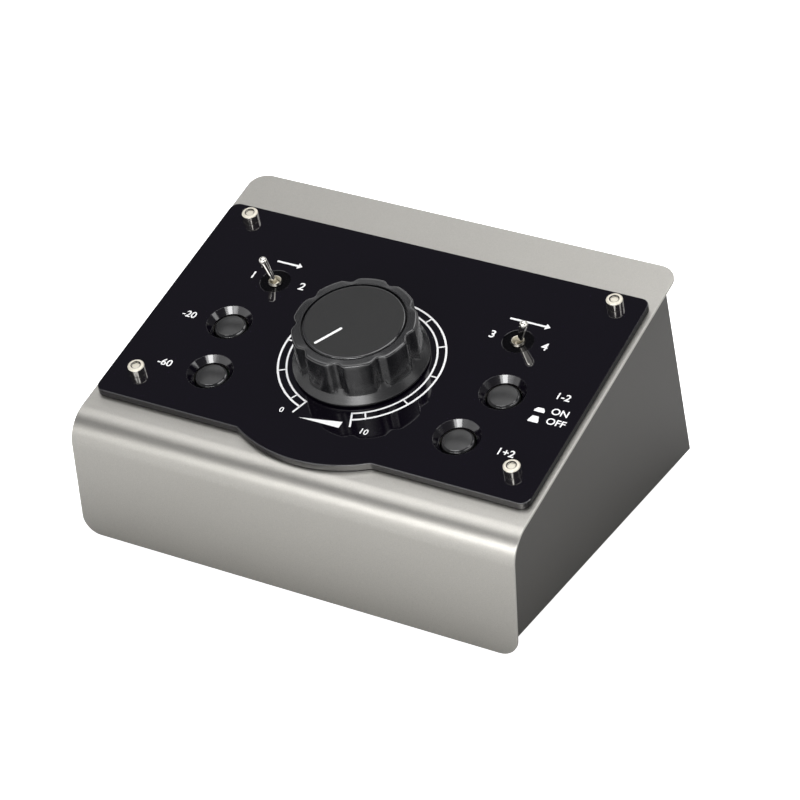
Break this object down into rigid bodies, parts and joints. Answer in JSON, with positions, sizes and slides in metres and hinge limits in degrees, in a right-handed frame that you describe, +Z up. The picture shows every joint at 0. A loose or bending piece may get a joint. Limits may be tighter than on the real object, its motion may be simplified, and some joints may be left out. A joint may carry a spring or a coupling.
{
  "type": "studio monitor controller",
  "caption": "Wedge-shaped desktop monitor controller with a fluted volume knob, four push buttons and two toggles on a sloped gloss panel, jack sockets at the rear.",
  "frame": {"origin": "on the table under the middle of the case", "axes": "+X to the right, +Y to the rear with the jack sockets, +Z up; the front faces -Y"},
  "size_m": [0.2, 0.1824, 0.1086],
  "materials": {
    "silver_satin": "satin silver paint",
    "tray_grey": "fine satin dark grey paint",
    "gloss_black": "polished black acrylic",
    "chrome": "bright plated",
    "zinc": "plain plated",
    "knob_black": "satin black",
    "cap_grey": "fine matt dark grey",
    "button_grey": "satin dark grey",
    "switch_black": "moulded black",
    "plunger_white": "moulded white",
    "toggle_red": "moulded dark red",
    "jack_black": "moulded black",
    "board_green": "green resist",
    "plug_grey": "moulded dark grey",
    "ribbon_grey": "flexible grey vinyl",
    "rubber": "matt black"
  },
  "bodies": {
    "housing": {"cover": "silver_satin", "base_tray": "tray_grey", "face_panel": "gloss_black", "panel_screw_1": "chrome", "panel_screw_2": "chrome", "panel_screw_3": "chrome", "panel_screw_4": "chrome", "foot_front_left": "rubber", "foot_front_right": "rubber", "foot_rear_left": "rubber", "foot_rear_right": "rubber", "potentiometer_body": "zinc", "potentiometer_nut": "zinc", "switch_body_dim": "switch_black", "switch_body_mute": "switch_black", "switch_body_side": "switch_black", "switch_body_mono": "switch_black", "toggle_body_input": "toggle_red", "toggle_bushing_input": "chrome", "toggle_body_monitor": "toggle_red", "toggle_bushing_monitor": "chrome", "control_board": "board_green", "board_screw_1": "zinc", "board_screw_2": "zinc", "board_screw_3": "zinc", "board_screw_4": "zinc", "jack_body_1": "jack_black", "jack_body_2": "jack_black", "jack_body_3": "jack_black", "jack_body_4": "jack_black", "jack_body_5": "jack_black", "jack_body_6": "jack_black", "jack_body_7": "jack_black", "jack_body_8": "jack_black", "jack_nut_1": "zinc", "jack_nut_2": "zinc", "jack_nut_3": "zinc", "jack_nut_4": "zinc", "jack_nut_5": "zinc", "jack_nut_6": "zinc", "jack_nut_7": "zinc", "jack_nut_8": "zinc", "jack_board": "board_green", "ribbon_plug_control": "plug_grey", "ribbon_plug_jacks": "plug_grey", "ribbon_cable": "ribbon_grey"},
    "volume_knob": {"knob_body": "knob_black", "knob_cap": "cap_grey", "potentiometer_shaft": "zinc"},
    "input_lever": {"toggle_lever_input": "chrome"},
    "monitor_lever": {"toggle_lever_monitor": "chrome"},
    "dim_button": {"button_dim": "button_grey", "switch_plunger_dim": "plunger_white"},
    "mute_button": {"button_mute": "button_grey", "switch_plunger_mute": "plunger_white"},
    "side_button": {"button_side": "button_grey", "switch_plunger_side": "plunger_white"},
    "mono_button": {"button_mono": "button_grey", "switch_plunger_mono": "plunger_white"}
  },
  "joints": [
    {"name": "volume_turn", "type": "hinge", "parent": "housing", "child": "volume_knob", "pos_m": [0, -0.03153, 0.09056], "axis": [0, 0.3173, -0.9483], "range_deg": [0, 300]},
    {"name": "input_select", "type": "hinge", "parent": "housing", "child": "input_lever", "pos_m": [-0.05625, -0.00004, 0.08823], "axis": [0, 0.9483, 0.3173], "range_deg": [0, 33.6]},
    {"name": "monitor_select", "type": "hinge", "parent": "housing", "child": "monitor_lever", "pos_m": [0.05625, -0.00004, 0.08823], "axis": [0, -0.9483, -0.3173], "range_deg": [0, 33.6]},
    {"name": "dim_press", "type": "slide", "parent": "housing", "child": "dim_button", "axis": [0, 0.3173, -0.9483], "range_m": [0, 0.0025], "stiffness_N_per_m": 240},
    {"name": "mute_press", "type": "slide", "parent": "housing", "child": "mute_button", "axis": [0, 0.3173, -0.9483], "range_m": [0, 0.0025], "stiffness_N_per_m": 240},
    {"name": "side_press", "type": "slide", "parent": "housing", "child": "side_button", "axis": [0, 0.3173, -0.9483], "range_m": [0, 0.0025], "stiffness_N_per_m": 240},
    {"name": "mono_press", "type": "slide", "parent": "housing", "child": "mono_button", "axis": [0, 0.3173, -0.9483], "range_m": [0, 0.0025], "stiffness_N_per_m": 240}
  ]
}
